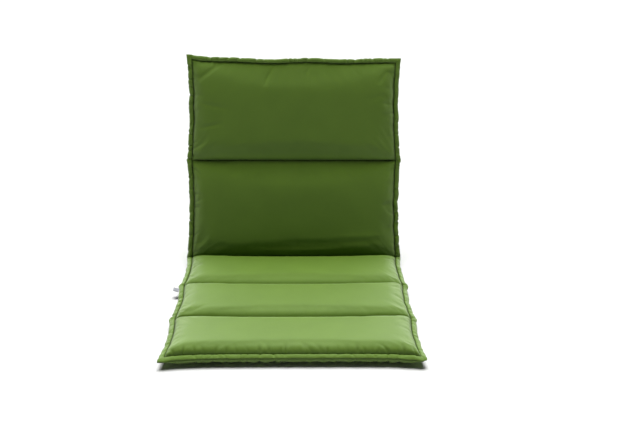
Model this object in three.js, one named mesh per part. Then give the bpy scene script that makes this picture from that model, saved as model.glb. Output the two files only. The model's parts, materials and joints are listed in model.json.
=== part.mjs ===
// A quilted garden chair pad: a seat of three stuffed channels and a back of two, folded where
// they meet. Millimetres, +Z up. X runs across the pad and the seat's front edge is towards -Y.
// The origin is on the ground under the centre of the seat.

import * as THREE from 'three';
import { mergeVertices } from 'three/addons/utils/BufferGeometryUtils.js';

// ---- Driving dimensions ----

const PAD_WIDTH = 500; // over the flange, at the seams
const SEAT_CHANNEL = 165; // from seam to seam
const BACK_CHANNEL = 230; // from seam to seam
const BACK_LEAN = 19; // degrees back from upright

const SEAT_FACE_SWELL = 17.5; // how far the stuffing lifts a panel off the seam plane
const SEAT_UNDERSIDE_SWELL = 23;
const BACK_FACE_SWELL = 15.5;
const BACK_REAR_SWELL = 17;
const SEAM_HEIGHT = 18; // the seat's seam plane above the ground, where its underside lies flat
const BACK_REST_DEPTH = 15; // the back's flattened rear behind its seam plane

const FLANGE_WIDTH = 10; // the soft edge outside the topstitching
const FLANGE_THICKNESS = 7;
const FLANGE_PINCH = 10; // length over which a flange thins towards a seam
const PINCHED_THICKNESS = 1.7;
const WAIST = 5; // how far the sides pull in between two seams

const FABRIC_THICKNESS = 0.8;
const THREAD_DIAMETER = 1;
const LABEL_LENGTH = 14; // how far it stands out of the side seam
const LABEL_WIDTH = 24;
const LABEL_THICKNESS = 0.8;
const LABEL_FROM_SEAM = 6;
const STRAP_WIDTH = 40;
const STRAP_THICKNESS = 1.2;

// ---- Clearances ----

const TOUCHING = 0.3; // between two pieces that lie against each other
const HINGE_GAP = 2.4; // from a seam's line to the fabric on each side, so that the seam can fold
const FILLING_GAP = 1.5; // between the filling and the panels round it
const STRAP_GAP = 1.5; // between the strap and the rear panel
const FILLING_INSET = 0.4; // of a grid step, from a panel's edge to the filling's

// ---- Materials ----

const fabric = new THREE.MeshStandardMaterial({ color: 0x6f9040, roughness: 0.9, metalness: 0 });
const flangeFabric = new THREE.MeshStandardMaterial({ color: 0x62823a, roughness: 0.9, metalness: 0 });
const thread = new THREE.MeshStandardMaterial({ color: 0x4c6a2c, roughness: 0.7, metalness: 0 });
const wadding = new THREE.MeshStandardMaterial({ color: 0xf0efe8, roughness: 1, metalness: 0 });
const satinTape = new THREE.MeshStandardMaterial({ color: 0xe6e6e2, roughness: 0.5, metalness: 0 });
const elastic = new THREE.MeshStandardMaterial({ color: 0x3f5826, roughness: 0.85, metalness: 0 });

// ---- The shape of a channel ----

// Half the width to the line of topstitching, at a share (-1 to 1) of the way along a channel.
const stitchLine = (along) => PAD_WIDTH / 2 - FLANGE_WIDTH - WAIST * (1 - along ** 2);

// What the topstitch thread leaves free on each side of its line.
const STITCH_ROOM = THREAD_DIAMETER / 2 + TOUCHING;

// The share of its full swell that a panel has: none at its four edges, most in the middle.
const swellShare = (across, along) => (1 - across ** 8) * (1 - along ** 2);

// The outer surface of a panel, measured from the seam plane.
function panelHeight(side, across, along) {
  const edge = TOUCHING / 2 + FABRIC_THICKNESS;
  return Math.min(edge + side.swell * swellShare(across, along), side.flattenedAt);
}

const face = (swell) => ({ swell, flattenedAt: Infinity });
const seatSides = {
  top: face(SEAT_FACE_SWELL),
  under: { swell: SEAT_UNDERSIDE_SWELL, flattenedAt: SEAM_HEIGHT },
};
const backSides = {
  top: face(BACK_FACE_SWELL),
  under: { swell: BACK_REAR_SWELL, flattenedAt: BACK_REST_DEPTH },
};

// ---- Geometry helpers ----

// Moves each corner of a closed grid to where place(x, y, z) says. The grid runs from -1 to 1.
function shaped(grid, place) {
  grid.deleteAttribute('normal');
  grid.deleteAttribute('uv');
  const geometry = mergeVertices(grid, 1e-5);
  const position = geometry.getAttribute('position');
  for (let i = 0; i < position.count; i += 1) {
    position.setXYZ(i, ...place(position.getX(i), position.getY(i), position.getZ(i)));
  }
  geometry.computeVertexNormals();
  return geometry;
}

// A closed slab with a grid on its two broad sides. The squares of the lower side are split again
// along the other diagonal, so that they slope the same way as those above and a thin panel has
// the same thickness everywhere.
function slabGrid(across, along) {
  const slab = new THREE.BoxGeometry(2, 2, 2, across, along, 1);
  const corners = slab.getIndex().array;
  const lowerSide = slab.groups[5];
  for (let i = lowerSide.start; i < lowerSide.start + lowerSide.count; i += 6) {
    const [a, b, d, , c] = corners.slice(i, i + 6);
    corners.set([a, b, c, a, c, d], i);
  }
  return slab;
}

const rollGrid = (round, along) => new THREE.CylinderGeometry(1, 1, 2, round, along);

// Brings the grid's lines closer together towards both sides of the pad.
const towardsSides = (x) => Math.sin((x * Math.PI) / 2);

function add(parent, name, geometry, material) {
  const mesh = new THREE.Mesh(geometry, material);
  mesh.name = name;
  parent.add(mesh);
  return mesh;
}

// ---- Panels and filling ----

const PANEL_ACROSS = 14;
const PANEL_ALONG = 6;

// A point on one panel, from where it lies on the panel's grid. depth is how far under its outer
// surface, and sign is 1 for the face.
function panelPoint(length, side, sign, depth, x, y) {
  const across = towardsSides(x);
  return new THREE.Vector3(
    across * (stitchLine(y) - STITCH_ROOM),
    y * (length / 2 - HINGE_GAP),
    sign * (panelHeight(side, across, y) - depth),
  );
}

// One panel of fabric: a thin shell over one side of a channel.
function panel(length, side, sign) {
  return shaped(slabGrid(PANEL_ACROSS, PANEL_ALONG), (x, y, z) => {
    const depth = z * sign > 0 ? 0 : FABRIC_THICKNESS;
    return panelPoint(length, side, sign, depth, x, y);
  });
}

// The two grid lines that x lies between, and how far it is from the first to the second.
function linesRound(x, steps) {
  const position = ((x + 1) / 2) * steps;
  const first = Math.min(Math.floor(position), steps - 1);
  return [(2 * first) / steps - 1, (2 * (first + 1)) / steps - 1, position - first];
}

const THINNEST_FILLING = 0.1; // half its thickness at the corners

// The loose fibre between two panels. It shares their grid, so it stays clear of them, and its
// own edge lies part of a step inside theirs.
function filling(length, sides) {
  const edgeX = 1 - (2 * FILLING_INSET) / PANEL_ACROSS;
  const edgeY = 1 - (2 * FILLING_INSET) / PANEL_ALONG;
  return shaped(slabGrid(PANEL_ACROSS, PANEL_ALONG), (x, y, z) => {
    const side = z > 0 ? sides.top : sides.under;
    const inside = (u, v) => panelPoint(length, side, 1, FABRIC_THICKNESS + FILLING_GAP, u, v);
    const [x0, x1, toX1] = linesRound(THREE.MathUtils.clamp(x, -edgeX, edgeX), PANEL_ACROSS);
    const [y0, y1, toY1] = linesRound(THREE.MathUtils.clamp(y, -edgeY, edgeY), PANEL_ALONG);
    const low = inside(x0, y0).lerp(inside(x1, y0), toX1);
    const high = inside(x0, y1).lerp(inside(x1, y1), toX1);
    const point = low.lerp(high, toY1);
    return point.setZ(z * Math.max(point.z, THINNEST_FILLING));
  });
}

// ---- Flange and topstitching ----

const SIDE_STEPS = 8;
const END_STEP = 2 / SIDE_STEPS; // the grid's last step, which covers the pinched end

// Spreads a side's steps so that the pinched end next to a seam has a step of its own.
function alongSide(y, low, high) {
  const pinchedLow = low + FLANGE_PINCH;
  const pinchedHigh = high - FLANGE_PINCH;
  if (y < -1 + END_STEP) return low + ((y + 1) / END_STEP) * FLANGE_PINCH;
  if (y > 1 - END_STEP) return high - ((1 - y) / END_STEP) * FLANGE_PINCH;
  return pinchedLow + ((y + 1 - END_STEP) / (2 - 2 * END_STEP)) * (pinchedHigh - pinchedLow);
}

// Half the flange's thickness at a distance from the nearest seam.
function flangeHalfThickness(fromSeam) {
  const share = Math.min(Math.max(fromSeam / FLANGE_PINCH, 0), 1);
  return THREE.MathUtils.lerp(PINCHED_THICKNESS, FLANGE_THICKNESS, share) / 2;
}

// The flange down one side of a channel. side is -1 for the left and 1 for the right. freeLow and
// freeHigh are the lengths of flange past the channel's own ends, on the two end channels.
function sideFlange(length, side, freeLow, freeHigh) {
  const low = -length / 2 + (freeLow > 0 ? -freeLow : HINGE_GAP);
  const high = length / 2 + (freeHigh > 0 ? freeHigh : -HINGE_GAP);
  const halfWidth = (FLANGE_WIDTH - STITCH_ROOM) / 2;
  return shaped(rollGrid(8, SIDE_STEPS), (x, y, z) => {
    const s = alongSide(y, low, high);
    const along = THREE.MathUtils.clamp((2 * s) / length, -1, 1);
    const centre = stitchLine(along) + STITCH_ROOM + halfWidth;
    const fromSeam = Math.min(freeLow > 0 ? Infinity : s - low, freeHigh > 0 ? Infinity : high - s);
    return [side * centre + x * halfWidth, s, z * flangeHalfThickness(fromSeam)];
  });
}

function sideTopstitch(length, side) {
  const halfLength = length / 2 - HINGE_GAP;
  const radius = THREAD_DIAMETER / 2;
  return shaped(rollGrid(6, PANEL_ALONG), (x, y, z) => [
    side * stitchLine(y) + x * radius,
    y * halfLength,
    z * radius,
  ]);
}

const roundSeamLine = (steps, round) => rollGrid(round, steps).rotateZ(-Math.PI / 2);

// The flange across an end of the pad, between the two side flanges. sign is 1 at the top.
function endFlange(length, sign) {
  const halfWidth = (FLANGE_WIDTH - STITCH_ROOM) / 2;
  const centre = length / 2 + STITCH_ROOM + halfWidth;
  const halfLength = stitchLine(1) - STITCH_ROOM;
  return shaped(roundSeamLine(10, 8), (x, y, z) => [
    x * halfLength,
    sign * centre + y * halfWidth,
    (z * FLANGE_THICKNESS) / 2,
  ]);
}

// A straight line of stitching across the pad, at y from the middle of a channel.
function crossThread(y) {
  const radius = THREAD_DIAMETER / 2;
  const halfLength = stitchLine(1) - STITCH_ROOM;
  return shaped(roundSeamLine(4, 6), (x, v, z) => [x * halfLength, y + v * radius, z * radius]);
}

// ---- Label and strap ----

// A folded tape that stands out of the left side seam, just short of the channel's rear seam.
function careLabel(length) {
  const label = new THREE.BoxGeometry(LABEL_LENGTH, LABEL_WIDTH, LABEL_THICKNESS);
  const x = -PAD_WIDTH / 2 - TOUCHING - LABEL_LENGTH / 2;
  return label.translate(x, length / 2 - LABEL_FROM_SEAM - LABEL_WIDTH / 2, 0);
}

const STRAP_STEPS = 28;

// A band of elastic that lies across the rear of a channel and ends in the two side seams.
function chairStrap(sides) {
  const flangeTop = FLANGE_THICKNESS / 2;
  const stitched = stitchLine(0);
  const halfLength = stitched + FLANGE_WIDTH - STITCH_ROOM;
  return shaped(slabGrid(STRAP_STEPS, 1), (x, y, z) => {
    const reach = towardsSides(x) * halfLength;
    const across = THREE.MathUtils.clamp(reach / (stitched - STITCH_ROOM), -1, 1);
    const under = Math.max(panelHeight(sides.under, across, 0), flangeTop) + STRAP_GAP;
    const height = z > 0 ? under : under + STRAP_THICKNESS;
    return [reach, (y * STRAP_WIDTH) / 2, -height];
  });
}

// ---- Assembly ----

function channel(name, length, sides, freeLow, freeHigh) {
  const group = new THREE.Group();
  add(group, `${name}_face_panel`, panel(length, sides.top, 1), fabric);
  add(group, `${name}_underside_panel`, panel(length, sides.under, -1), fabric);
  add(group, `${name}_filling`, filling(length, sides), wadding);
  for (const [where, side] of [['left', -1], ['right', 1]]) {
    const flange = sideFlange(length, side, freeLow, freeHigh);
    add(group, `${name}_flange_${where}`, flange, flangeFabric);
    add(group, `${name}_topstitch_${where}`, sideTopstitch(length, side), thread);
  }
  return group;
}

// The seat, from its front edge to the fold.
const seat = new THREE.Group();
seat.position.z = SEAM_HEIGHT;
const seatFront = channel('seat_front', SEAT_CHANNEL, seatSides, FLANGE_WIDTH, 0);
const seatMiddle = channel('seat_middle', SEAT_CHANNEL, seatSides, 0, 0);
const seatRear = channel('seat_rear', SEAT_CHANNEL, seatSides, 0, 0);
seatFront.position.y = -SEAT_CHANNEL;
seatRear.position.y = SEAT_CHANNEL;
seat.add(seatFront, seatMiddle, seatRear);

add(seatFront, 'front_flange', endFlange(SEAT_CHANNEL, -1), flangeFabric);
add(seatFront, 'front_topstitch', crossThread(-SEAT_CHANNEL / 2), thread);
add(seatFront, 'front_seat_seam_thread', crossThread(SEAT_CHANNEL / 2), thread);
add(seatMiddle, 'care_label', careLabel(SEAT_CHANNEL), satinTape);
add(seatRear, 'rear_seat_seam_thread', crossThread(-SEAT_CHANNEL / 2), thread);

// The back, turned up about the fold.
const back = new THREE.Group();
back.position.set(0, SEAT_CHANNEL * 1.5, SEAM_HEIGHT);
back.rotation.x = THREE.MathUtils.degToRad(90 - BACK_LEAN);
const backLower = channel('back_lower', BACK_CHANNEL, backSides, 0, 0);
const backUpper = channel('back_upper', BACK_CHANNEL, backSides, 0, FLANGE_WIDTH);
backLower.position.y = BACK_CHANNEL / 2;
backUpper.position.y = BACK_CHANNEL * 1.5;
back.add(backLower, backUpper);

add(backLower, 'fold_seam_thread', crossThread(-BACK_CHANNEL / 2), thread);
add(backUpper, 'back_seam_thread', crossThread(-BACK_CHANNEL / 2), thread);
add(backUpper, 'top_topstitch', crossThread(BACK_CHANNEL / 2), thread);
add(backUpper, 'top_flange', endFlange(BACK_CHANNEL, 1), flangeFabric);
add(backUpper, 'chair_strap', chairStrap(backSides), elastic);

const pad = new THREE.Group();
pad.add(seat, back);

export default pad;
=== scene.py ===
# %% [markdown]
# # A quilted garden chair pad
#
# This pad is two long panels of woven fabric with loose fibre between them. Rows of stitching
# divide it into five stuffed channels, three in the seat and two in the back, and a soft flange
# runs round the edge outside a line of topstitching. The design is a fixed frame of plain solids,
# one for each real piece. This file builds what the eye sees round that frame: swollen channels,
# a puckered flange, stitches, a label and a strap. Each moves with the part that it belongs to,
# but the lengths of flange and the rows of stitches across the four seams stay fixed.

# %% Load the frame
import json
import math

import bpy
import numpy as np
from mathutils import Matrix, Vector


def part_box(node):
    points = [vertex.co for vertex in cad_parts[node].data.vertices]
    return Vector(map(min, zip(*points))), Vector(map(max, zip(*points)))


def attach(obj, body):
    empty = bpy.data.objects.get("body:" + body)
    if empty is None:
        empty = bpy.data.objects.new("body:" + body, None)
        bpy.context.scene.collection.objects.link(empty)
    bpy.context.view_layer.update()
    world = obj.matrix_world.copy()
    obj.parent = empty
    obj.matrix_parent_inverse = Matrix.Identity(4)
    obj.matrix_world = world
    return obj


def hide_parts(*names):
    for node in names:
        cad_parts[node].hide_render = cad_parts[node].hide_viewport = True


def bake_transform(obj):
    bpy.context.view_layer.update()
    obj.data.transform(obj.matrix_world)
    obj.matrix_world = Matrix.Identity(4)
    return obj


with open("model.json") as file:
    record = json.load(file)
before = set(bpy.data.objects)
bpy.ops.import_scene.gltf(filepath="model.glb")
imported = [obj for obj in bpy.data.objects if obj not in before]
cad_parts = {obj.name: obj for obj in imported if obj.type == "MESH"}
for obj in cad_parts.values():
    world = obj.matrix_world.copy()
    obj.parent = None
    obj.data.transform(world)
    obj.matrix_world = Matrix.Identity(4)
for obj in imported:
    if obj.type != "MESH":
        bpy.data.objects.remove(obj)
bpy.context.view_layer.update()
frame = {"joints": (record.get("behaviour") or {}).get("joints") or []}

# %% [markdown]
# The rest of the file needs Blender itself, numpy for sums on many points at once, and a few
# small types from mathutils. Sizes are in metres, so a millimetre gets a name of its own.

MM = 0.001
scene = bpy.context.scene

# %% [markdown]
# ## Camera
#
# A product picture of a low pad is taken from standing height with a longish lens, so that the
# sides hardly converge. The camera is placed by its position and by three turns: how far it looks
# down, how far it is turned to one side, and a slight roll. A matrix made from those turns is
# easier to read and to correct than a single rotation in Euler angles.

# %% Place the camera
EYE = Vector((0.011, -1.8375, 0.877))
LOOKS_DOWN = math.radians(19.65)
TURNED_RIGHT = math.radians(1.20)
ROLL = math.radians(0.38)
LENS_MM = 54.14

turn = Matrix.Rotation(-TURNED_RIGHT, 4, "Z")
tilt = Matrix.Rotation(math.radians(90) - LOOKS_DOWN, 4, "X")
roll = Matrix.Rotation(ROLL, 4, "Z")
lens = bpy.data.cameras.new("camera")
lens.lens = LENS_MM
camera = bpy.data.objects.new("camera", lens)
camera.matrix_world = Matrix.Translation(EYE) @ turn @ tilt @ roll
scene.collection.objects.link(camera)
scene.camera = camera
print(f"the camera stands {-1000 * EYE.y:.0f} mm in front of the seat's middle")

# %% [markdown]
# ## Writing shader maths as sums
#
# A material is a graph of nodes, and a graph is hard to read in code. This small class wraps one
# output socket, so that `weave * 0.4 + 0.6` adds the two Math nodes that it needs. Colours and
# vectors have their own calls, because a Math node would turn them grey.

# %% A socket that can be used in sums


class Value:
    """An output socket of a node, in one material's graph."""

    def __init__(self, graph, socket):
        self.graph = graph
        self.socket = socket

    def maths(self, operation, *others, first=None):
        values = {0: self if first is None else first}
        values.update({i + 1: other for i, other in enumerate(others)})
        return self.graph.node("ShaderNodeMath", {"operation": operation}, values)

    def __add__(self, other):
        return self.maths("ADD", other)

    def __radd__(self, other):
        return self + other

    def __sub__(self, other):
        return self.maths("SUBTRACT", other)

    def __rsub__(self, other):
        return self.maths("SUBTRACT", self, first=other)

    def __mul__(self, other):
        return self.maths("MULTIPLY", other)

    def __rmul__(self, other):
        return self * other


class Finish:
    """A material or a world under construction: its graph, and the shader at the end of it."""

    def __init__(self, owner, shader="Principled BSDF"):
        owner.use_nodes = True
        self.tree = owner.node_tree
        self.shader = self.tree.nodes[shader]

    def put(self, socket, value):
        """Sets a socket to a number or a colour, or links a value to it."""
        if isinstance(value, Value):
            self.tree.links.new(value.socket, socket)
        else:
            socket.default_value = value

    def node(self, kind, settings, values, output=0):
        """Adds any node: first its settings, then the values or links of its sockets."""
        made = self.tree.nodes.new(kind)
        for setting, value in settings.items():
            setattr(made, setting, value)
        for socket, value in values.items():
            self.put(made.inputs[socket], value)
        return Value(self, made.outputs[output])

    def mix(self, share, one, other):
        """A colour between two colours."""
        settings = {"data_type": "RGBA"}
        return self.node("ShaderNodeMix", settings, {0: share, 6: one, 7: other}, output=2)

    def noise(self, place, scale, detail=2.0, roughness=0.5):
        values = {"Vector": place, "Scale": scale, "Detail": detail, "Roughness": roughness}
        return self.node("ShaderNodeTexNoise", {}, values)

    def clear(self, value, low, high):
        """Stretches the part of a value between low and high to the whole range from 0 to 1."""
        values = {"Value": value, "From Min": low, "From Max": high}
        return self.node("ShaderNodeMapRange", {"clamp": True}, values)

    def surface(self, **values):
        """Sets the shader's sockets, such as Base_Color or Roughness."""
        for socket, value in values.items():
            self.put(self.shader.inputs[socket.replace("_", " ")], value)

    def bump(self, height, depth, strength=1.0):
        values = {"Height": height, "Distance": depth, "Strength": strength}
        self.put(self.shader.inputs["Normal"], self.node("ShaderNodeBump", {}, values))


# %% [markdown]
# ## Floor and light
#
# The pad lies on a white studio floor that runs out of the picture on all sides. A wide soft
# light hangs above and a little behind, so the seat is bright, the leaning back is darker and the
# shadow stays close under the front edge. A weak wide light fills in from the front. A softbox
# is a sun lamp here: its strength is the same all over the pad, and its angle is what softens the
# shadows. Gloss doesn't see the lamps. It sees a room that is bright behind the pad and dark in
# front, which gives the seat its pale bloom, where it is seen at a slant, and leaves the back its
# deep green. That room lights nothing else, because it would flatten the folds, and the camera
# sees plain white in its place. The standard view transform keeps the green as it is mixed.

# %% Lay the floor
FLOOR_SIZE = 40.0
PAPER_WHITE = 0.86

bpy.ops.mesh.primitive_plane_add(size=FLOOR_SIZE, location=(0, 0, 0))
floor = bpy.context.object
floor.name = "studio_floor"
paper = bpy.data.materials.new("studio paper")
Finish(paper).surface(
    Base_Color=(PAPER_WHITE, PAPER_WHITE, PAPER_WHITE, 1), Roughness=0.9, Specular_IOR_Level=0.0
)
floor.data.materials.append(paper)
print(f"the floor is {FLOOR_SIZE:.0f} m across")

# %% Hang the lights
MAIN_STRENGTH = 4.1
MAIN_SPREAD = math.radians(44)
MAIN_FROM_BEHIND = math.radians(12)
FILL_STRENGTH = 0.12
FILL_SPREAD = math.radians(150)
FILL_FROM_FRONT = math.radians(25)


def softbox(name, strength, spread, from_front):
    """A distant soft light above the pad. spread is how wide it looks from the pad, and
    from_front is how far it is tipped towards the camera from straight above."""
    lamp = bpy.data.lights.new(name, "SUN")
    lamp.energy = strength
    lamp.angle = spread
    hung = bpy.data.objects.new(name, lamp)
    hung.rotation_euler = (from_front, 0, 0)
    hung.visible_glossy = False
    scene.collection.objects.link(hung)


softbox("overhead_softbox", MAIN_STRENGTH, MAIN_SPREAD, -MAIN_FROM_BEHIND)
softbox("front_fill", FILL_STRENGTH, FILL_SPREAD, FILL_FROM_FRONT)
print("lights:", [lamp.name for lamp in bpy.data.lights])

# %% Paint the room
ROOM_BEHIND = 5.5
ROOM_IN_FRONT = 0.02
DARK_UP_TO = -0.1
BRIGHT_FROM = 0.5

world = bpy.data.worlds.new("studio")
studio = Finish(world, "Background")
direction = studio.node("ShaderNodeTexCoord", {}, {})
depth = studio.node("ShaderNodeSeparateXYZ", {}, {0: direction}, output=1)
behind = studio.clear(depth, DARK_UP_TO, BRIGHT_FROM)
reflected = behind * (ROOM_BEHIND - ROOM_IN_FRONT) + ROOM_IN_FRONT
seen_by_camera = studio.node("ShaderNodeLightPath", {}, {})
studio.surface(Color=(1, 1, 1, 1), Strength=reflected * (1 - seen_by_camera) + seen_by_camera)
world.cycles_visibility.diffuse = False
scene.world = world
scene.view_settings.view_transform = "Standard"
print(len(studio.tree.nodes), "nodes paint the room")

# %% [markdown]
# ## The pad's measures
#
# Everything below is worked out from the frame. Six lines of stitching cross the pad: the front
# topstitching, four seams that the pad can fold at, and the top topstitching. Each pair of
# neighbours bounds one channel. A channel gets axes of its own: across the pad, along it towards
# the top, and out of its face. Shapes are made flat in those axes and placed afterwards.

# %% Find the lines of stitching
CHANNELS = ["seat_front", "seat_middle", "seat_rear", "back_lower", "back_upper"]
SEAMS = ["front_seat_seam", "rear_seat_seam", "fold_seam", "back_seam"]


def middle(node):
    low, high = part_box(node)
    return (low + high) / 2


hinges = {joint["name"]: Vector(joint["pos_m"]) for joint in frame["joints"]}
lines = [middle("front_topstitch"), *(hinges[s] for s in SEAMS), middle("top_topstitch")]

front_low, front_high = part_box("front_topstitch")
side_low, side_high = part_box("seat_middle_topstitch_right")
thread_size = front_high.z - front_low.z
HALF_STITCHED = side_high.x - thread_size / 2
WAIST = side_high.x - side_low.x - thread_size
FLANGE_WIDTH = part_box("seat_middle_flange_right")[1].x - HALF_STITCHED
SEAM_HEIGHT = hinges["fold_seam"].z
print(f"stitched {2000 * HALF_STITCHED:.0f} mm wide, flange {1000 * FLANGE_WIDTH:.1f} mm wide")

# %% [markdown]
# No edge of a sewn pad is quite straight. The side stitching pulls in between two seams and
# wanders a little. The front edge is drawn in and lifted between its corners, and the top edge
# waves and rises to one corner. These bends belong to the channel's axes, so that the cover, the
# flange, the stitches and the wadding all follow them.

# %% A channel's own axes
WANDER = 1.1 * MM
WANDER_LENGTH = 90 * MM
FRONT_LIFT = 4.5 * MM
FRONT_HOLLOW = 7 * MM
CORNER_LIFT = 8 * MM
CORNER_FADE = 42 * MM
TOP_WAVE = 1.6 * MM
TOP_WAVE_LENGTH = 29 * MM
TOP_WAVE_START = 33 * MM
TOP_DROP = 1.2 * MM


def wander(place, seed, size):
    """A slow drift from -1 to 1 along a line, from a few sines with fixed random phases."""
    chance = np.random.default_rng(seed)
    waves = [(chance.uniform(0.5, 2.0) / size, chance.uniform(0, 2 * math.pi)) for _ in range(5)]
    return sum(np.sin(2 * math.pi * place * k + phase) for k, phase in waves) / 3


class Channel:
    """One stuffed channel, between two neighbouring lines of stitching."""

    def __init__(self, name, start, end):
        self.name = name
        self.length = (end - start).length
        self.middle = np.array((start + end) / 2)
        self.along = np.array((end - start).normalized())
        self.out = np.cross((1, 0, 0), self.along)
        self.part = name.split("_")[0]
        self.is_seat = self.part == "seat"

    def place(self, points):
        """Turns points given across, along and out of the channel into the pad's own frame."""
        points = self.bend(np.asarray(points, float))
        turned = np.outer(points[:, 1], self.along) + np.outer(points[:, 2], self.out)
        turned[:, 0] += points[:, 0]
        return turned + self.middle

    def share(self, along):
        """How far along the channel a place is, from -1 to 1."""
        return np.clip(2 * np.asarray(along, float) / self.length, -1, 1)

    def half_width(self, along, side):
        """Width from the middle to one side's topstitching, which pulls in between two seams."""
        pull = 1 - self.share(along) ** 2
        seed = 3 * CHANNELS.index(self.name) + (1 if side > 0 else 2)
        return HALF_STITCHED - (WAIST + WANDER * wander(along, seed, WANDER_LENGTH)) * pull

    def bend(self, points):
        """Moves the pad's two free edges: the front is drawn in and lifted between its corners,
        and the top isn't quite straight."""
        points = np.array(points, float)
        across = points[:, 0]
        end = points[:, 1] / self.length
        if self.name == CHANNELS[0]:
            share = np.clip(0.5 - end, 0, 1.1) ** 2
            corner = np.clip(across / HALF_STITCHED, -1, 1) ** 10
            points[:, 2] += FRONT_LIFT * share * (1 - 0.4 * corner)
            points[:, 1] += FRONT_HOLLOW * share * (1 - corner**0.6)
        if self.name == CHANNELS[-1]:
            share = np.clip(end + 0.5, 0, 1.1) ** 2
            from_corner = np.minimum(-HALF_STITCHED - across, 0)
            corner = CORNER_LIFT * np.exp(from_corner / CORNER_FADE)
            waves = TOP_WAVE * np.cos((across - TOP_WAVE_START) / TOP_WAVE_LENGTH)
            waves = waves * np.cos(across * 5)
            points[:, 1] += (corner + waves - TOP_DROP) * share
        return points


channels = [Channel(n, a, b) for n, a, b in zip(CHANNELS, lines, lines[1:])]
for channel in channels:
    print(f"{channel.name}: {1000 * channel.length:.0f} mm from seam to seam")

# %% [markdown]
# ## The cover fabric
#
# The cover is a plain-woven polyester canvas, dyed green. Close up it is a basket of fine threads
# going over and under, and from further off it is matte, with a pale bloom where it is seen at a
# slant. Every mesh carries its place in the flat cloth as an attribute, in millimetres, so that
# the weave runs along the channels and bends with the fabric. The weave is made from two sine
# waves, slow noise gives the dye's faint clouds, and finer noise gives the slubs, the thicker
# places in a thread. A second attribute is painted shade: it says how close a point lies to the
# grooves at the stitching or how deep in a pucker, and the cloth is painted darker there.

# %% Mix the cover fabric
CLOTH_PLACE = "cloth_mm"
PAINTED_SHADE = "groove"
THREADS_PER_MM = 1.6
CLOUDS_PER_MM = 0.02
SLUBS_PER_MM = 0.6
WEAVE_DEPTH = 0.12 * MM


def woven(finish):
    """(place in the cloth, height of the weave from 0 to 1)."""
    place = finish.node("ShaderNodeAttribute", {"attribute_name": CLOTH_PLACE}, {}, output=1)
    axes = finish.node("ShaderNodeSeparateXYZ", {}, {0: place})
    across = Value(finish, axes.socket.node.outputs[0])
    along = Value(finish, axes.socket.node.outputs[1])
    turn_per_mm = math.pi * THREADS_PER_MM
    over = (across * turn_per_mm).maths("SINE") * (along * turn_per_mm).maths("SINE")
    warp = (across * (2 * turn_per_mm)).maths("COSINE")
    weft = (along * (2 * turn_per_mm)).maths("COSINE")
    height = over.maths("ABSOLUTE") * 0.5 + (warp + weft) * 0.125 + 0.25
    return place, height


def cover_fabric(name, dye, shade):
    """The canvas: dye is the colour of a thread's top, and shade that of the gaps between."""
    material = bpy.data.materials.new(name)
    finish = Finish(material)
    place, weave = woven(finish)
    clouds = finish.noise(place, CLOUDS_PER_MM, detail=3)
    slubs = finish.noise(place, SLUBS_PER_MM, detail=2, roughness=0.7)
    groove = finish.node("ShaderNodeAttribute", {"attribute_name": PAINTED_SHADE}, {}, output=2)
    light = finish.clear(clouds, 0.3, 0.7) * 0.35 + finish.clear(slubs, 0.3, 0.7) * 0.25
    colour = finish.mix(light + weave * 0.4, shade, dye)
    # Painted shade: the colour goes towards half of the gap colour where the painted shade
    # attribute is high.
    deep = [0.5 * c for c in shade[:3]] + [1]
    colour = finish.mix(groove * 0.7, colour, deep)
    finish.surface(Base_Color=colour, Roughness=0.62 + weave * 0.1)
    finish.surface(Specular_IOR_Level=0.5, Sheen_Weight=0.08, Sheen_Roughness=0.5)
    finish.surface(Sheen_Tint=(1.0, 1.0, 0.85, 1))
    finish.bump(weave + slubs * 0.6, WEAVE_DEPTH)
    return material


green_canvas = cover_fabric(
    "green canvas", dye=(0.113, 0.204, 0.018, 1), shade=(0.085, 0.160, 0.012, 1)
)
print("the canvas has", len(green_canvas.node_tree.nodes), "nodes")

# %% [markdown]
# The other finishes are small or hidden, so one recipe serves them all: a colour with a fine
# grain, which is a quarter darker where the fibres lie deeper. Thread has hardly any gloss, so
# that it stays dark in the grooves.

# %% Mix the thread, fibre, tape and webbing
GRAIN_PER_METRE = 900


def plain_finish(name, colour, roughness, sheen=0.0, gloss=0.3, grain=0.05 * MM):
    """A thread, tape or fibre: one colour with fine bumps, and grain is how deep they are."""
    material = bpy.data.materials.new(name)
    finish = Finish(material)
    place = finish.node("ShaderNodeTexCoord", {}, {}, output=3)
    fibres = finish.noise(place, GRAIN_PER_METRE, detail=3, roughness=0.6)
    dark = [0.75 * c for c in colour[:3]] + [1]
    finish.surface(Base_Color=finish.mix(fibres, dark, colour), Roughness=roughness)
    finish.surface(Sheen_Weight=sheen, Specular_IOR_Level=gloss)
    finish.bump(fibres, grain)
    return material


green_thread = plain_finish("green thread", (0.028, 0.06, 0.007, 1), 0.8, gloss=0.05)
white_fibre = plain_finish("white fibre", (0.8, 0.8, 0.77, 1), 0.95, sheen=0.5, grain=0.8 * MM)
satin_tape = plain_finish("satin tape", (0.3, 0.31, 0.34, 1), 0.45)
elastic_web = plain_finish("elastic webbing", (0.05, 0.085, 0.018, 1), 0.8, grain=0.1 * MM)
finishes = [green_canvas, green_thread, white_fibre, satin_tape, elastic_web]
print("finishes:", [material.name for material in finishes])

# %% [markdown]
# ## Meshes from grids
#
# A soft surface is easiest to shape as a grid of points: two numbers say where a point is in the
# cloth, and numpy moves them all at once. These helpers turn such grids into a smooth mesh with
# the cloth place attached, give the faces of a tube, and read points back from a mesh.

# %% Turn points and faces into a piece


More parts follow.
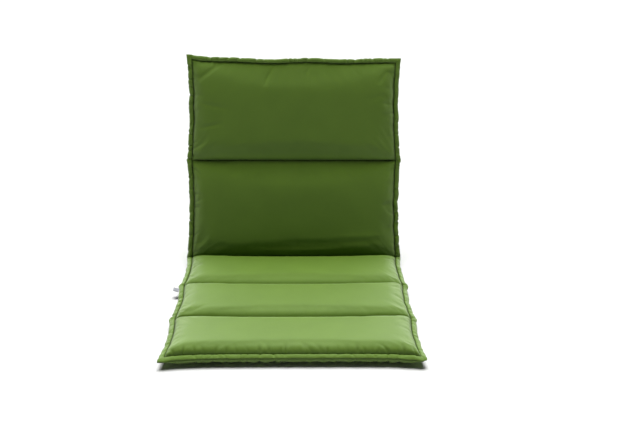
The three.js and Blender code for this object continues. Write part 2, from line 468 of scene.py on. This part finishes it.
def make_piece(name, points, faces, material, cloth=None, groove=None):
    """A smooth mesh. cloth is each point's place in the flat cloth, and groove how much painted
    shade darkens it.
    """
    mesh = bpy.data.meshes.new(name)
    mesh.from_pydata([tuple(p) for p in points], [], [tuple(map(int, f)) for f in faces])
    cloth = points if cloth is None else cloth
    place = mesh.attributes.new(CLOTH_PLACE, "FLOAT_VECTOR", "POINT")
    place.data.foreach_set("vector", (np.asarray(cloth) / MM).astype(np.float32).ravel())
    depth = mesh.attributes.new(PAINTED_SHADE, "FLOAT", "POINT")
    values = np.zeros(len(points)) if groove is None else groove
    depth.data.foreach_set("value", np.asarray(values).astype(np.float32))
    mesh.polygons.foreach_set("use_smooth", [True] * len(mesh.polygons))
    mesh.materials.append(material)
    mesh.update()
    piece = bpy.data.objects.new(name, mesh)
    scene.collection.objects.link(piece)
    return piece


def tube(count, ring):
    """The faces of a closed tube, made of count rings with ring points in each."""
    number = np.arange(count * ring).reshape(count, ring)
    turned = np.roll(number, -1, 1)
    squares = np.stack([number[:-1], turned[:-1], turned[1:], number[1:]], -1).reshape(-1, 4)
    return [*squares.tolist(), number[0][::-1].tolist(), number[-1].tolist()]


def vectors_of(items, field):
    """One vector for each of a mesh's items, as rows of three numbers."""
    flat = np.empty(len(items) * 3, np.float32)
    items.foreach_get(field, flat)
    return flat.reshape(-1, 3).astype(float)


def set_points(piece, points):
    piece.data.vertices.foreach_set("co", np.asarray(points, np.float32).ravel())
    piece.data.update()


# %% [markdown]
# ## The channels
#
# Each channel is one closed cover: a face and an underside that share their edge, which is the
# stitched line. It starts as a smooth pillow with rounded shoulders next to the stitching. The
# stuffing of the two back channels has sunk a little, so their upper shoulders are long and slack.
# Then the cover is given a little more cloth than the space it fills and a slight pressure, and
# Blender's cloth solver finds where the spare fabric buckles. The stitched edge is pinned, so the
# puckers gather along the seams as they do when a flat panel is stuffed.

# %% Lay out a channel's cover as a grid
GRID_STEP = 4 * MM
GRID_CROWDING = 0.25
FACE_SWELL = dict(zip(CHANNELS, np.array([17.5, 17, 14.5, 16, 16.5]) * MM))
LOWER_SHOULDER = dict(zip(CHANNELS, np.array([24, 24, 24, 34, 36]) * MM))
UPPER_SHOULDER = dict(zip(CHANNELS, np.array([28, 28, 36, 105, 105]) * MM))
UNDERSIDE_SWELL = {"seat": 22 * MM, "back": 16 * MM}
SIDE_SHOULDER = 30 * MM


def shoulder(distance, width, fullness=0.52, roundness=2.5):
    """The rise of a stuffed panel from a stitched line, from 0 at the line to 1 a width away."""
    left = 1 - np.clip(distance / width, 0, 1)
    return (1 - left**roundness) ** fullness


def spread(count):
    """Shares from -1 to 1, closer together towards both ends."""
    even = np.linspace(-1, 1, count)
    return (1 - GRID_CROWDING) * even + GRID_CROWDING * np.sin(even * math.pi / 2)


def sided(across, along, channel):
    """The half width at each place, on the side that the place lies on."""
    left, right = channel.half_width(along, -1), channel.half_width(along, 1)
    return np.where(across < 0, left, right)


def lay_out(channel):
    """(points, faces, rim) of a channel's closed cover, in its own axes."""
    columns = int(2 * HALF_STITCHED / GRID_STEP) + 1
    rows = int(channel.length / GRID_STEP) + 1
    u, v = np.meshgrid(spread(columns), spread(rows), indexing="ij")
    along = v * channel.length / 2
    half_width = sided(u, along, channel)
    across = u * half_width
    from_side = half_width * (1 - np.abs(u))
    from_lower = channel.length / 2 + along
    from_upper = channel.length / 2 - along
    rise = shoulder(from_lower, LOWER_SHOULDER[channel.name])
    roundness = 2.5 if channel.is_seat else 2.0
    rise = rise * shoulder(from_upper, UPPER_SHOULDER[channel.name], 0.55, roundness)
    rise = rise * shoulder(from_side, SIDE_SHOULDER)
    face = np.stack([across, along, rise * FACE_SWELL[channel.name]], -1)
    under = np.stack([across, along, -rise * UNDERSIDE_SWELL[channel.part]], -1)

    number = np.arange(columns * rows).reshape(columns, rows)
    inner = np.zeros((columns, rows), bool)
    inner[1:-1, 1:-1] = True
    below = number.copy()
    below[inner] = columns * rows + np.arange(inner.sum())
    points = np.concatenate([face.reshape(-1, 3), under[inner]])

    def squares(n):
        return np.stack([n[:-1, :-1], n[1:, :-1], n[1:, 1:], n[:-1, 1:]], -1).reshape(-1, 4)

    faces = np.concatenate([squares(number), squares(below)[:, ::-1]])
    return points, faces, number[~inner]


def crease(piece, rim):
    """Marks the edges between rim points as sharp folds, for the later rounding."""
    on_rim = np.zeros(len(piece.data.vertices), bool)
    on_rim[rim] = True
    ends = np.empty(len(piece.data.edges) * 2, np.int32)
    piece.data.edges.foreach_get("vertices", ends)
    sharp = on_rim[ends.reshape(-1, 2)].all(1)
    folds = piece.data.attributes.new("crease_edge", "FLOAT", "EDGE")
    folds.data.foreach_set("value", sharp.astype(np.float32))


covers = {}
rims = {}
for channel in channels:
    points, faces, rim = lay_out(channel)
    covers[channel.name] = make_piece(f"{channel.name}_cover", points, faces, green_canvas)
    crease(covers[channel.name], rim)
    rims[channel.name] = rim
print("covers:", sum(len(c.data.vertices) for c in covers.values()), "points")

# %% [markdown]
# The solver runs on all five covers at once, because Blender works on separate cloths in
# parallel. Gravity is off: stuffing holds the shape, and weight is put in later. A
# point may move only so far from the smooth pillow, which keeps every channel near its solid.

# %% Let the spare fabric buckle
GATHERED_SPARE = 0.05
OPEN_SPARE = 0.003
GATHERED_WIDTH = 26 * MM
PRESSURE = 2.5
LAST_FRAME = 18
FURTHEST = 3 * MM


def add_cloth(cover, rim):
    """Makes a cover a cloth that is pinned at its rim and has most to spare next to it."""
    points = vectors_of(cover.data.vertices, "co")
    stitched = cover.vertex_groups.new(name="stitched")
    stitched.add(rim.tolist(), 1.0, "REPLACE")
    gathered = cover.vertex_groups.new(name="gathered")
    edge = points[rim]
    for number, point in enumerate(points):
        gap = np.abs(edge[:, :2] - point[:2]).max(1).min()
        gathered.add([number], float(np.clip(1 - gap / GATHERED_WIDTH, 0, 1)), "REPLACE")
    settings = cover.modifiers.new("buckling", "CLOTH").settings
    settings.quality = 4
    settings.mass = 0.15
    settings.tension_stiffness = 15
    settings.compression_stiffness = 15
    settings.shear_stiffness = 5
    settings.bending_stiffness = 0.03
    settings.air_damping = 2
    settings.shrink_min = -OPEN_SPARE
    settings.shrink_max = -GATHERED_SPARE
    settings.vertex_group_shrink = gathered.name
    settings.use_pressure = True
    settings.uniform_pressure_force = PRESSURE
    settings.vertex_group_mass = stitched.name
    settings.effector_weights.gravity = 0


def keep_buckled(cover):
    """Takes the solver's result as the cover's own points, and leaves no modifier behind."""
    start = vectors_of(cover.data.vertices, "co")
    solved = cover.evaluated_get(bpy.context.evaluated_depsgraph_get())
    move = vectors_of(solved.data.vertices, "co") - start
    distance = np.linalg.norm(move, axis=1, keepdims=True)
    limit = FURTHEST * np.tanh(distance / FURTHEST)
    set_points(cover, start + move * limit / np.maximum(distance, 1e-9))
    cover.modifiers.clear()
    cover.vertex_groups.clear()
    return 1000 * distance.max()


for name, cover in covers.items():
    add_cloth(cover, rims[name])
for moment in range(1, LAST_FRAME + 1):
    scene.frame_set(moment)
moved = [keep_buckled(cover) for cover in covers.values()]
scene.frame_set(1)
print("buckled by up to", [round(m, 1) for m in moved], "mm")

# %% [markdown]
# One subdivision rounds the solver's grid. After it come the small things that a coarse cloth
# can't show: short puckers where the thread draws the fabric in, and a few long soft creases in
# the back, which takes its own weight. The seat's underside is then laid flat on the ground.

# %% Round the covers


def subdivide(piece):
    modifier = piece.modifiers.new("rounding", "SUBSURF")
    modifier.levels = 1
    graph = bpy.context.evaluated_depsgraph_get()
    rounded = bpy.data.meshes.new_from_object(piece.evaluated_get(graph), depsgraph=graph)
    old = piece.data
    piece.modifiers.clear()
    piece.data = rounded
    bpy.data.meshes.remove(old)


for cover in covers.values():
    subdivide(cover)
print("rounded covers:", sum(len(c.data.vertices) for c in covers.values()), "points")

# %% Draw puckers along the stitching
# Depths, reaches, steps and widths are ranges in millimetres.
SIDE_PUCKERS = dict(depth=(0.6, 2.8), reach=(14, 46), step=(8, 26))
SEAM_PUCKERS = dict(depth=(0.2, 1.0), reach=(6, 18), step=(8, 26))
FRONT_PUCKERS = dict(depth=(1.6, 5.0), reach=(8, 22), step=(9, 26))
TOP_PUCKERS = dict(depth=(0.4, 2.0), reach=(8, 26), step=(16, 60))
PUCKER_WIDTH = (1.8, 3.6)
PUCKER_SLANT = 0.45
PUCKER_SPREAD = 14 * MM
LONGEST_PUCKER = 50 * MM


def puckers(place, inward, length, seed, depth, reach, step):
    """How deep short creases are at each place along a stitched line, and inward from it.
    Each is a narrow valley between two low banks, and it widens and fades away from the line."""
    chance = np.random.default_rng(seed)
    total = np.zeros(len(place))
    at = -length / 2
    while at < length / 2:
        at += chance.uniform(*step) * MM
        deep = chance.uniform(*depth) * MM
        far = chance.uniform(*reach) * MM
        slant = chance.normal(0, PUCKER_SLANT)
        width = chance.uniform(*PUCKER_WIDTH) * MM
        near = (np.abs(place - at) < LONGEST_PUCKER) & (inward < far)
        inside = inward[near]
        off = place[near] - at - slant * inside
        fade = (1 - inside / far) ** 1.3 * np.clip(inside / (2 * MM), 0, 1)
        wide = width * (1 + inside / PUCKER_SPREAD)
        valley = np.exp(-((off / wide) ** 2))
        banks = np.exp(-((off / (2.6 * wide)) ** 2))
        total[near] += deep * fade * (valley - 0.45 * banks)
    return total


def gathers(number, channel, across, along):
    """How deep the puckers from all four of a channel's stitched lines are at its points."""
    total = np.zeros(len(across))
    for end in (-1, 1):
        seed = 100 * number + end + 2
        kind = SEAM_PUCKERS
        if number == 0 and end < 0:
            kind = FRONT_PUCKERS
        if number == len(channels) - 1 and end > 0:
            kind = TOP_PUCKERS
        from_seam = channel.length / 2 - end * along
        total += puckers(across, from_seam, 2 * HALF_STITCHED, seed, **kind)
        from_side = channel.half_width(along, end) - end * across
        total += puckers(along, from_side, channel.length, seed + 10, **SIDE_PUCKERS)
    return total


# %% Long creases where the back sags
# Each is (start, end, height, width) in a channel's own axes, in millimetres.
CREASES = {
    "back_lower": [
        ((-110, -98), (205, -86), 1.6, 6), ((-30, -78), (212, -72), -1.5, 7),
        ((90, -64), (220, -60), 0.8, 7), ((-215, -78), (-120, -94), -0.9, 9),
    ],
    "back_upper": [
        ((-46, 112), (-70, 58), -2.0, 4), ((-170, 112), (-228, 62), -1.8, 5),
        ((-228, 20), (-150, 2), -1.3, 6), ((-230, -42), (-165, -30), -1.6, 5),
        ((228, 40), (172, 22), -1.1, 7), ((222, 96), (196, 60), -1.4, 5),
        ((42, 112), (26, 84), -1.2, 4),
    ],
}


def crease_rise(across, along, start, end, height, width):
    """A long soft ridge, or a valley if the height is negative, that fades out at its ends."""
    start, end = np.array(start) * MM, np.array(end) * MM
    span = end - start
    share = ((across - start[0]) * span[0] + (along - start[1]) * span[1]) / (span @ span)
    bow = -0.02 * np.linalg.norm(span) * np.sin(math.pi * np.clip(share, 0, 1))
    off = (across - start[0]) * span[1] - (along - start[1]) * span[0]
    off = off / np.linalg.norm(span) + bow
    fade = np.sin(math.pi * np.clip(share, 0, 1)) ** 0.7
    return height * MM * fade * np.exp(-((off / (width * MM)) ** 2))


print(sum(map(len, CREASES.values())), "long creases in the back")

# %% Shape and finish each cover
CREASE_FADE = 6 * MM
GROUND_GAP = 0.2 * MM
GROOVE_WIDTH = 4 * MM
DARK_PUCKER = 3 * MM
CLOTH_APART = 1.7

for number, channel in enumerate(channels):
    cover = covers[channel.name]
    points = vectors_of(cover.data.vertices, "co")
    flat = vectors_of(cover.data.attributes[CLOTH_PLACE].data, "vector") * MM
    across, along = flat[:, 0], flat[:, 1]
    from_stitch = np.minimum(
        channel.length / 2 - np.abs(along), sided(across, along, channel) - np.abs(across)
    )

    # Puckers go in along the surface's own direction, long creases only into the face.
    depth = gathers(number, channel, across, along)
    points -= vectors_of(cover.data.vertex_normals, "vector") * depth[:, None]
    for line in CREASES.get(channel.name, ()):
        ridge = crease_rise(across, along, *line)
        points[:, 2] += (flat[:, 2] > 0) * ridge * np.clip(from_stitch / CREASE_FADE, 0, 1)
    if channel.is_seat:
        points[:, 2] = np.maximum(points[:, 2], -SEAM_HEIGHT + GROUND_GAP)
    set_points(cover, channel.place(points))

    # Painted shade: the cloth is painted darker in the grooves at the stitching and deep in the
    # puckers. Each channel takes its weave and clouds from another stretch of the cloth.
    dark = np.clip(1.2 - from_stitch / GROOVE_WIDTH, 0, 1)
    dark = np.maximum(dark, np.clip(depth / DARK_PUCKER, 0, 0.75))
    cover.data.attributes[PAINTED_SHADE].data.foreach_set("value", dark.astype(np.float32))
    offset = np.array([0, CLOTH_APART * number, 0])
    moved = ((flat + offset) / MM).astype(np.float32).ravel()
    cover.data.attributes[CLOTH_PLACE].data.foreach_set("vector", moved)
    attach(cover, channel.name)
    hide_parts(f"{channel.name}_face_panel", f"{channel.name}_underside_panel")
    print(f"{cover.name}: puckers up to {1000 * depth.max():.1f} mm deep")

# %% [markdown]
# ## The flange
#
# Outside the topstitching the two panels run on for a finger's width and are sewn together at
# the outermost edge. A little fibre is caught in there, so the flange is a soft double roll: one
# bulge above, one below, and the outer seam sunk between them. It is swept along the edge from an
# inner line, the topstitching, and an outer line, which is pushed out into a small point at each
# cross seam. Random notches pinch it every centimetre or two. Where it crosses a seam it has to
# bend, so one length of flange reaches from the middle of a channel to the middle of the next, and
# its section turns from the one channel's face to the other's. At the front the flange droops and
# its lower layer is the fuller one.

# %% The flange's section
FLANGE_HALF = 5.2 * MM
FLANGE_REACH = FLANGE_WIDTH + 1.2 * MM
FLANGE_STEP = 1.7 * MM
SAG = {"seat": 0.34, "back": 0.06}
FRONT_DROOP = 0.4
SEAM_POINT = 1.5 * MM
LOBE = [(0, 0), (0.02, 0.42), (0.11, 0.78), (0.27, 0.97), (0.47, 1.0), (0.67, 0.93),
        (0.85, 0.76), (0.97, 0.52), (1.0, 0.3), (0.92, 0.12), (0.68, 0)]
SECTION = np.array(LOBE + [(x, -y) for x, y in LOBE[-2:0:-1]])
print("the flange's section has", len(SECTION), "points")

# %% Sweep the flange along an edge
DRIFT_SHARE = 0.12
DRIFT_LENGTH = 35 * MM
NOTCH_STEP = (6 * MM, 24 * MM)
NOTCH_SLANT = 0.9
NOTCH_DEPTH = (0.15, 0.75)
NOTCH_WIDTH_MM = (1.4, 3.0)
FOLD_PINCH = 0.45
FOLD_WIDTH = 2.6 * MM


def sweep_flange(name, inner, outer, out, place, seed, folds=(), above=1.0, below=1.0):
    """A flange between two lines of points. out is each point's direction off the face, place
    its distance along the edge, and folds where a cross seam pinches it. above and below say
    how full its two layers are."""
    chance = np.random.default_rng(seed)
    outward, height = SECTION[:, 0], SECTION[:, 1]
    half = FLANGE_HALF * (1 + DRIFT_SHARE * wander(place, seed, DRIFT_LENGTH))
    above, below = np.reshape(above, (-1, 1)), np.reshape(below, (-1, 1))
    fullness = np.where(height[None] > 0, above, below)
    body = half[:, None] * fullness
    width_of = np.ones(body.shape)
    at = place.min() - 20 * MM
    while at < place.max() + 20 * MM:
        at += chance.uniform(*NOTCH_STEP)
        slant = chance.normal(0, NOTCH_SLANT)
        depth = chance.uniform(*NOTCH_DEPTH) ** 1.2
        width = chance.uniform(*NOTCH_WIDTH_MM) * MM
        off = place[:, None] - at - slant * outward[None] * FLANGE_REACH
        notch = depth * np.exp(-((off / width) ** 2))
        body *= 1 - notch / np.maximum(fullness, 1) ** 2
        width_of -= 0.22 * notch
    for at in folds:
        body *= 1 - FOLD_PINCH * np.exp(-(((place[:, None] - at) / FOLD_WIDTH) ** 2))
    span = outer - inner
    points = inner[:, None] + span[:, None] * (outward[None] * width_of)[..., None]
    points = points + out[:, None] * (body * height[None])[..., None]

    count, ring = len(inner), len(SECTION)
    cloth = np.zeros((count, ring, 3))
    cloth[..., 0] = place[:, None]
    cloth[..., 1] = np.cumsum(np.full(ring, 2 * math.pi * FLANGE_HALF / ring))[None]

    # Painted shade at the topstitching, in the sunk outer seam, and low on a lower layer that is
    # very full.
    stitched = np.clip(1 - outward / 0.12, 0, 1)
    seam_shade = np.clip(1 - np.abs(height) / 0.35, 0, 1) * (outward > 0.6)
    dark = np.repeat(np.maximum(stitched, 0.8 * seam_shade)[None], count, 0)
    loose = np.clip(fullness - 1, 0, 1) * (height < -0.3)[None]
    dark = np.maximum(dark, 0.7 * loose)
    flat, cloth = points.reshape(-1, 3), cloth.reshape(-1, 3)
    return make_piece(name, flat, tube(count, ring), green_canvas, cloth, dark.ravel())


def side_lines(channel, along, side):
    """The inner and outer line of the flange along one side of a channel, in its own axes."""
    share = channel.share(along)
    from_seam = (1 - np.abs(share)) * channel.length / 2
    inner_x = channel.half_width(along, side)
    point = SEAM_POINT * np.exp(-(from_seam / (8 * MM)))
    drift = 0.6 * MM * (1 - share**2) * wander(along, CHANNELS.index(channel.name) + 40, 50 * MM)
    outer_x = inner_x + FLANGE_REACH + point + drift
    held_up = np.exp(-((from_seam / (14 * MM)) ** 2))
    drop = -SAG[channel.part] * FLANGE_REACH * (1 - 0.6 * held_up)
    inner = np.stack([side * inner_x, along, np.zeros(len(along))], 1)
    outer = np.stack([side * outer_x, along, drop], 1)
    return inner, outer


def steps(low, high):
    """Places from low to high, a flange step apart."""
    count = max(2, round((high - low) / FLANGE_STEP))
    return np.linspace(low, high, count + 1)


SIDES = {"left": -1, "right": 1}
flanges = []

# %% The lengths of flange that cross a seam
HINGE_REACH = 9 * MM


def turning_zone(seam, below, above):
    """Two points on either side of a seam, a hinge reach along the channel below and the one
    above.
    """
    hinge = np.array(hinges[seam])
    return Vector(hinge - HINGE_REACH * below.along), Vector(hinge + HINGE_REACH * above.along)


for number, seam in enumerate(SEAMS):
    below, above = channels[number], channels[number + 1]
    start, end = turning_zone(seam, below, above)
    for where, side in SIDES.items():
        low, high = steps(0, below.length / 2), steps(-above.length / 2, 0)[1:]
        inner_low, outer_low = side_lines(below, low, side)
        inner_high, outer_high = side_lines(above, high, side)
        inner = np.concatenate([below.place(inner_low), above.place(inner_high)])
        outer = np.concatenate([below.place(outer_low), above.place(outer_high)])
        place = np.concatenate([low - below.length / 2, high + above.length / 2])
        turn = np.clip((place + HINGE_REACH) / (2 * HINGE_REACH), 0, 1)[:, None]
        out = below.out * (1 - turn) + above.out * turn
        out /= np.linalg.norm(out, axis=1, keepdims=True)
        order = slice(None) if side < 0 else slice(None, None, -1)
        piece = sweep_flange(
            f"{seam}_flange_{where}", inner[order], outer[order], out[order], place[order],
            seed=10 * number + side + 1, folds=[0],
        )
        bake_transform(piece)
        nodes = [f"{below.name}_flange_{where}", f"{above.name}_flange_{where}"]
        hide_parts(*nodes)
        flanges.append(piece)

# %% The two ends of the pad, with their corners
CORNER_PINCH = 0.5
CORNER_WIDTH = 11 * MM
FULL_FROM_CORNER = 25 * MM


def up_to_corner(channel, end, side):
    """(inner line, outer line, place) from the middle of a side up to the pad's corner."""
    up_side = steps(0, channel.length / 2)
    inner, outer = side_lines(channel, end * up_side, side)
    near_corner = np.clip(1 - (channel.length / 2 - up_side) / FLANGE_REACH, 0, 1)
    outer[:, 1] += end * FLANGE_REACH * near_corner**1.5
    if channel.is_seat:
        outer[:, 2] -= (FRONT_DROOP - SAG["seat"]) * FLANGE_REACH * near_corner
    return inner, outer, side * (HALF_STITCHED + channel.length / 2 - up_side)


def across_end(channel, end, seed):
    """(inner line, outer line, place) across the pad's end. A drooping edge reaches less far
    out, and it is hollowed a little between its corners."""
    edge = steps(-HALF_STITCHED, HALF_STITCHED)
    inner = np.zeros((len(edge), 3))
    inner[:, 0] = edge
    inner[:, 1] = end * channel.length / 2
    hollow = 1.0 * MM * (1 - (edge / HALF_STITCHED) ** 2) + 0.5 * MM * wander(edge, seed, 60 * MM)
    droop = FRONT_DROOP if channel.is_seat else SAG["back"]
    corner = np.clip(1 - (HALF_STITCHED - np.abs(edge)) / FLANGE_REACH, 0, 1)
    reach = FLANGE_REACH * (1 - 0.45 * droop**2 * (1 - corner))
    outer = inner.copy()
    outer[:, 0] += np.sign(edge) * (FLANGE_REACH + SEAM_POINT) * corner**1.5
    outer[:, 1] += end * (reach - hollow)
    outer[:, 2] = -droop * FLANGE_REACH
    return inner, outer, edge


def end_flange(name, channel, end, seed):
    """The flange from the middle of an end channel round the pad's end to its other side."""
    left, right = up_to_corner(channel, end, -1), up_to_corner(channel, end, 1)
    runs = zip(left, across_end(channel, end, seed), right)
    inner, outer, place = [np.concatenate([a[:-1], b, c[-2::-1]]) for a, b, c in runs]
    out = np.repeat(channel.out[None], len(inner), 0)
    order = slice(None) if end > 0 else slice(None, None, -1)
    inner, outer = channel.place(inner), channel.place(outer)
    from_corner = np.abs(np.abs(place) - HALF_STITCHED)
    above = below = 1 - CORNER_PINCH * np.exp(-((from_corner / CORNER_WIDTH) ** 2))
    if channel.is_seat:
        at_front = np.clip((HALF_STITCHED - np.abs(place)) / FULL_FROM_CORNER, 0, 1)
        above = above * (1 - 0.45 * at_front)
        below = below * (1 + at_front)
    return sweep_flange(
        name, inner[order], outer[order], out[order], place[order], seed,
        above=above[order], below=below[order],
    )


front_flange = end_flange("front_edge_flange", channels[0], -1, 71)
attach(front_flange, "seat_front")
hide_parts("front_flange", "seat_front_flange_left", "seat_front_flange_right")
top_flange = end_flange("top_edge_flange", channels[-1], 1, 72)
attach(top_flange, "back_upper")
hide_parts("top_flange", "back_upper_flange_left", "back_upper_flange_right")
flanges += [front_flange, top_flange]
print(len(flanges), "lengths of flange")

# %% [markdown]
# ## Stitches
#
# A lockstitch shows as a row of short strands with a needle hole between each two. All strands
# of one row are one piece, made by copying a small capsule along the stitched line, on both
# sides of the pad. The rows on the four seams stand out half way between the faces of the two
# channels that they join, and stay fixed when the pad folds.

# %% Sew a row of stitches
STITCH_LENGTH = 3.6 * MM
STITCH_GAP = 0.7 * MM
STITCH_RADIUS = 0.55 * MM
STITCH_LIFT = 0.9 * MM
STITCH_SIDES = 6
STITCH_SHARES = np.array([0.0, 0.12, 0.5, 0.88, 1.0])
STITCH_SIZES = np.array([0.35, 0.9, 1.0, 0.9, 0.35])


def sew(name, line, out):
    """A row of stitches along a line of points, lifted off it on both sides of the pad."""
    line, out = np.asarray(line, float), np.asarray(out, float)
    steps_between = np.linalg.norm(np.diff(line, axis=0), axis=1)
    travelled = np.concatenate([[0], np.cumsum(steps_between)])
    starts = np.arange(STITCH_GAP, travelled[-1] - STITCH_LENGTH, STITCH_LENGTH + STITCH_GAP)
    turn = np.linspace(0, 2 * math.pi, STITCH_SIDES, endpoint=False)
    bow = STITCH_LIFT * (0.6 + 0.4 * np.sin(math.pi * STITCH_SHARES))
    capsule = tube(len(STITCH_SHARES), STITCH_SIDES)
    points, faces = [], []
    for start in starts:
        at = start + STITCH_SHARES * STITCH_LENGTH
        middle_line = np.stack([np.interp(at, travelled, line[:, k]) for k in range(3)], 1)
        direction = middle_line[-1] - middle_line[0]
        direction /= np.linalg.norm(direction)
        for side in (-1, 1):
            off = side * out
            cross = np.cross(direction, off)
            ring = np.cos(turn)[:, None] * cross + np.sin(turn)[:, None] * off
            faces += [[len(points) + corner for corner in face] for face in capsule]
            for centre, lift, size in zip(middle_line, bow, STITCH_SIZES):
                points += (centre + off * lift + STITCH_RADIUS * size * ring).tolist()
    piece = make_piece(name, points, faces, green_thread)
    return piece


def cross_row(channel, end):
    """The stitched line across one end of a channel."""
    edge = np.linspace(-HALF_STITCHED, HALF_STITCHED, 40)
    line = np.stack([edge, np.full(40, end * channel.length / 2), np.zeros(40)], 1)
    return channel.place(line)


def side_row(channel, side):
    """The stitched line along one side of a channel."""
    along = np.linspace(-channel.length / 2, channel.length / 2, 30)
    line = np.stack([side * channel.half_width(along, side), along, np.zeros(30)], 1)
    return channel.place(line)


for number, seam in enumerate(SEAMS):
    below, above = channels[number], channels[number + 1]
    out = below.out + above.out
    out /= np.linalg.norm(out)
    row = sew(f"{seam}_stitches", cross_row(below, 1), out)
    start, end = turning_zone(seam, below, above)
    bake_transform(row)
    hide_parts(f"{seam}_thread")
for name, channel, end in [("front", channels[0], -1), ("top", channels[-1], 1)]:
    row = sew(f"{name}_edge_stitches", cross_row(channel, end), channel.out)
    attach(row, channel.name)
    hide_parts(f"{name}_topstitch")
for channel in channels:
    for where, side in SIDES.items():
        row = sew(f"{channel.name}_side_stitches_{where}", side_row(channel, side), channel.out)
        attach(row, channel.name)
        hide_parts(f"{channel.name}_topstitch_{where}")
print("the stitches are", round(STITCH_LENGTH / MM, 1), "mm long")

# %% [markdown]
# ## Wadding, label and strap
#
# The fibre inside never shows, but the channels would be empty without it, so each gets a soft
# body a good deal smaller than its cover, so that it stays inside when the pad folds. The care
# label is a folded satin tape, blank here. The strap is ribbed elastic that lies over the rear
# of the upper channel and stands a little off it.

# %% Fill the channels
WADDING_SHARES = (0.93, 0.72, 0.6)
WADDING_OFF_GROUND = 2.5 * MM

for channel in channels:
    points, faces, rim = lay_out(channel)
    points = points * WADDING_SHARES
    if channel.is_seat:
        points[:, 2] = np.maximum(points[:, 2], -SEAM_HEIGHT + WADDING_OFF_GROUND)
    wadding = make_piece(f"{channel.name}_wadding", channel.place(points), faces, white_fibre)
    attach(wadding, channel.name)
    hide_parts(f"{channel.name}_filling")
print("the wadding fills", WADDING_SHARES, "of a channel's width, length and height")

# %% Fold the care label
LABEL_GAP = 0.9 * MM
LABEL_RISE = 3.5 * MM
LABEL_HALF_THICKNESS = 0.12 * MM
label_low, label_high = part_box("care_label")


def folded_label():
    """(points, faces) of a tape folded in half: two leaves that meet at the outer fold, part a
    little inside and curl up towards the fold."""
    length = label_high.x - label_low.x - 2 * MM
    out = np.linspace(0, 1, 10)
    leaf = LABEL_GAP * (1 - out**3) * 0.5
    lift = LABEL_RISE * out**1.4
    upper = np.stack([-out * length, leaf + lift], 1)
    lower = np.stack([-out[::-1] * length, -leaf[::-1] + lift[::-1]], 1)
    outline = np.concatenate([upper, lower[1:]])
    width = np.linspace(label_low.y + 5 * MM, label_high.y - 3 * MM, 8)
    points, faces = [], []
    for face in (1, -1):
        for y in width:
            for k, (x, z) in enumerate(outline):
                shift = face * LABEL_HALF_THICKNESS * (1 if k < len(upper) else -1)
                points.append([label_high.x + x + 1 * MM, y, SEAM_HEIGHT + z + shift - 1.5 * MM])
    across, count = len(outline), len(width)
    for face in range(2):
        for j in range(count - 1):
            for k in range(across - 1):
                a = face * across * count + j * across + k
                square = [a, a + 1, a + across + 1, a + across]
                faces.append(square if face else square[::-1])
    ring = [j * across for j in range(count)]
    for edge in (list(range(across)), [(count - 1) * across + k for k in range(across)],
                 ring, [r + across - 1 for r in ring]):
        for a, b in zip(edge, edge[1:]):
            faces.append([a, b, b + across * count, a + across * count])
    return points, faces


points, faces = folded_label()
label = make_piece("folded_care_label", points, faces, satin_tape)
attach(label, "seat_middle")
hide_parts("care_label")
print("the label has", len(points), "points")

# %% Weave the strap
STRAP_RIBS = 9
STRAP_THICKNESS = 1.3 * MM
STRAP_CLEAR = 3 * MM
STRAP_HALF_WIDTH = 20 * MM
SMOOTHED_OVER = 15

upper = channels[-1]
reach = np.linspace(-1, 1, 121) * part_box("chair_strap")[1].x
from_side = upper.half_width(np.zeros(len(reach)), 1) - np.abs(reach)
rear = shoulder(np.maximum(from_side, 0), SIDE_SHOULDER) * UNDERSIDE_SWELL["back"]
rear = np.maximum(rear, FLANGE_HALF * 1.1) + STRAP_CLEAR
kernel = np.hanning(SMOOTHED_OVER) / np.hanning(SMOOTHED_OVER).sum()
padded = np.pad(rear, SMOOTHED_OVER // 2, mode="edge")
rear = np.maximum(rear, np.convolve(padded, kernel, mode="valid"))
rib = np.linspace(0, 1, 4 * STRAP_RIBS + 1)
ribbed = 0.18 * MM * np.abs(np.sin(math.pi * STRAP_RIBS * rib))
outline = [(2 * r - 1, STRAP_THICKNESS / 2 + h) for r, h in zip(rib, ribbed)]
outline += [(1 - 2 * r, -STRAP_THICKNESS / 2 - h) for r, h in zip(rib, ribbed)]
points = [[x, STRAP_HALF_WIDTH * a, -z - b] for x, z in zip(reach, rear) for a, b in outline]
faces = tube(len(reach), len(outline))
strap = make_piece("elastic_chair_strap", upper.place(points), faces, elastic_web)
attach(strap, "back_upper")
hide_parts("chair_strap")
print(f"the strap crosses {2000 * reach[-1]:.0f} mm of the back")
